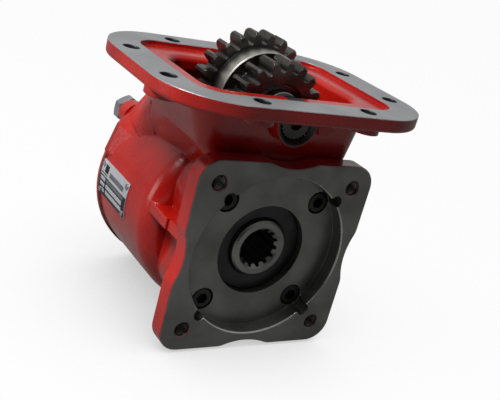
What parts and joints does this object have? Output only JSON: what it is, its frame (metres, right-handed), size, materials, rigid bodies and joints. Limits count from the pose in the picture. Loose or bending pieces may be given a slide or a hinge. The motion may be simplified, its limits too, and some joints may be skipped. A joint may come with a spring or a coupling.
{
  "type": "power take off unit",
  "caption": "Gear-driven power take off unit with a bolted mounting plate, an idler gear cluster in its window, an air-shifted dog clutch and a square pump flange with a splined output.",
  "frame": {"origin": "centre of the eight mounting bolt holes, on the machined mounting face", "axes": "+Z out of the mounting face, towards the gearbox that it bolts to; -Y out of the pump flange; +X to the right seen from the pump flange"},
  "size_m": [0.213, 0.203, 0.2257],
  "materials": {
    "red_paint": "glossy enamel over a rough casting",
    "gear_steel": "ground and hardened, oily",
    "bearing_steel": "polished",
    "shaft_steel": "ground",
    "black_oxide": "black oxide, satin",
    "seal_rubber": "satin",
    "gasket_paper": "matt fibre",
    "plate_metal": "satin with dark fields",
    "plug_zinc": "zinc plated, dull",
    "bronze": "turned",
    "spring_steel": "drawn wire"
  },
  "bodies": {
    "casing": {"housing": "red_paint", "pump_flange": "red_paint", "flange_gasket": "gasket_paper", "flange_screws": "black_oxide", "oil_seal": "seal_rubber", "idler_shaft": "shaft_steel", "idler_sleeve": "bearing_steel", "shaft_plug": "plug_zinc", "rear_cover": "red_paint", "cover_gasket": "gasket_paper", "cover_screws": "plug_zinc", "nameplate": "plate_metal", "nameplate_pins": "plug_zinc", "front_bearing_outer": "bearing_steel", "front_bearing_balls": "bearing_steel", "rear_bearing_outer": "bearing_steel", "rear_bearing_balls": "bearing_steel", "shift_cap": "plug_zinc", "cap_washer": "plug_zinc", "return_spring": "spring_steel"},
    "idler": {"idler_gear": "gear_steel", "idler_bearing_rings": "bearing_steel", "idler_snap_rings": "spring_steel", "idler_needles": "bearing_steel"},
    "driven_gear": {"output_gear": "gear_steel"},
    "output": {"output_shaft": "shaft_steel", "front_bearing_inner": "bearing_steel", "rear_bearing_inner": "bearing_steel", "rear_shaft_ring": "spring_steel", "front_washer": "bronze", "rear_washer": "bronze", "output_gear_needles": "bearing_steel"},
    "shifter": {"shift_fork": "bronze", "shift_rod": "shaft_steel", "fork_clips": "spring_steel", "shift_piston": "plug_zinc", "piston_seal": "seal_rubber"},
    "collar": {"shift_collar": "gear_steel"}
  },
  "joints": [
    {"name": "idler_spin", "type": "hinge", "parent": "casing", "child": "idler", "pos_m": [-0.0015, 0, -0.01741], "axis": [0, 1, 0], "continuous": true},
    {"name": "driven_gear_spin", "type": "hinge", "parent": "casing", "child": "driven_gear", "pos_m": [0.0093, 0, -0.12185], "axis": [0, 1, 0], "continuous": true},
    {"name": "output_spin", "type": "hinge", "parent": "casing", "child": "output", "pos_m": [0.0093, 0, -0.12185], "axis": [0, 1, 0], "continuous": true},
    {"name": "shift_slide", "type": "slide", "parent": "casing", "child": "shifter", "axis": [0, -1, 0], "range_m": [0, 0.009], "stiffness_N_per_m": 400, "springref_m": -0.004, "deforming": ["return_spring"]},
    {"name": "collar_slide", "type": "slide", "parent": "output", "child": "collar", "axis": [0, -1, 0], "range_m": [0, 0.009]}
  ],
  "couplings": [
    {"joint": "driven_gear_spin", "follows": "idler_spin", "ratio": -0.66667},
    {"joint": "collar_slide", "follows": "shift_slide", "ratio": 1}
  ]
}
